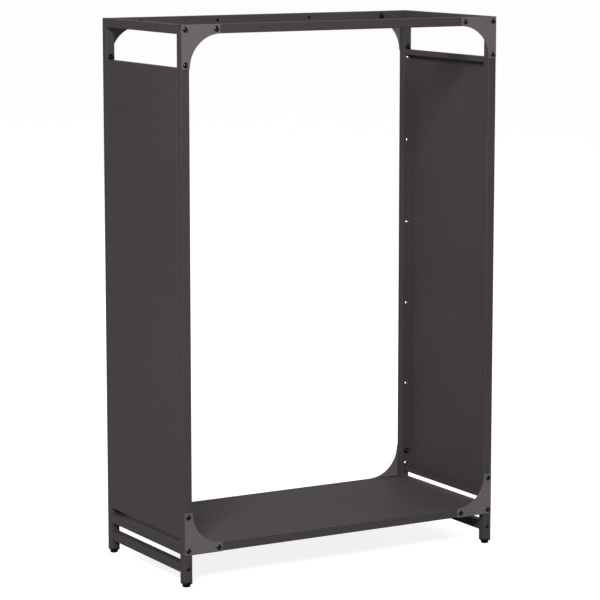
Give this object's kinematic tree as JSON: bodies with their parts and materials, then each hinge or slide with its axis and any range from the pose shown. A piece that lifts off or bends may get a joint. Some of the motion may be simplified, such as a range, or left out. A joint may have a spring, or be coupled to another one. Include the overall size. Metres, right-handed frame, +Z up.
{
  "type": "firewood log rack",
  "caption": "Open firewood rack of bolted square steel tube with quarter-arc corner plates, folded sheet sides with hand openings above them, and a low sheet floor.",
  "frame": {"origin": "on the floor, under the middle of the rack (bottom centre of its box)", "axes": "+X along the width to the right as seen from the front, +Y along the depth towards the back, +Z up"},
  "size_m": [0.6008, 0.2878, 0.91],
  "materials": {
    "frame_coat": "fine matt anthracite powder coat on square steel tube",
    "plate_coat": "fine matt anthracite powder coat on flat cut plate",
    "panel_coat": "fine matt anthracite powder coat on folded sheet",
    "black_steel": "black-coated machine screws and nuts, slightly glossy",
    "zinc_steel": "bright zinc plate on small screws and threaded inserts",
    "black_plastic": "moulded black polyethylene, fine matt grain"
  },
  "bodies": {
    "root": {"post_front_left": "frame_coat", "foot_front_left": "black_plastic", "post_cap_front_left": "black_plastic", "post_front_right": "frame_coat", "foot_front_right": "black_plastic", "post_cap_front_right": "black_plastic", "post_back_left": "frame_coat", "foot_back_left": "black_plastic", "post_cap_back_left": "black_plastic", "post_back_right": "frame_coat", "foot_back_right": "black_plastic", "post_cap_back_right": "black_plastic", "top_rail_front": "frame_coat", "bottom_rail_front": "frame_coat", "top_rail_back": "frame_coat", "bottom_rail_back": "frame_coat", "top_rail_left": "frame_coat", "bottom_rail_left": "frame_coat", "foot_rail_left": "frame_coat", "top_rail_right": "frame_coat", "bottom_rail_right": "frame_coat", "foot_rail_right": "frame_coat", "corner_plate_top_front_left": "plate_coat", "corner_plate_top_front_right": "plate_coat", "corner_plate_top_back_left": "plate_coat", "corner_plate_top_back_right": "plate_coat", "corner_plate_bottom_front_left": "plate_coat", "corner_plate_bottom_front_right": "plate_coat", "corner_plate_bottom_back_left": "plate_coat", "corner_plate_bottom_back_right": "plate_coat", "side_panel_left": "panel_coat", "side_panel_right": "panel_coat", "floor_tray": "panel_coat", "plate_corner_screws": "black_steel", "plate_post_screws": "black_steel", "plate_rail_screws": "black_steel", "foot_rail_screws": "black_steel", "post_nuts": "black_steel", "rail_nuts": "black_steel", "panel_screws_left": "zinc_steel", "panel_screws_right": "zinc_steel", "tray_screws": "zinc_steel", "rail_end_inserts": "zinc_steel"}
  },
  "joints": []
}
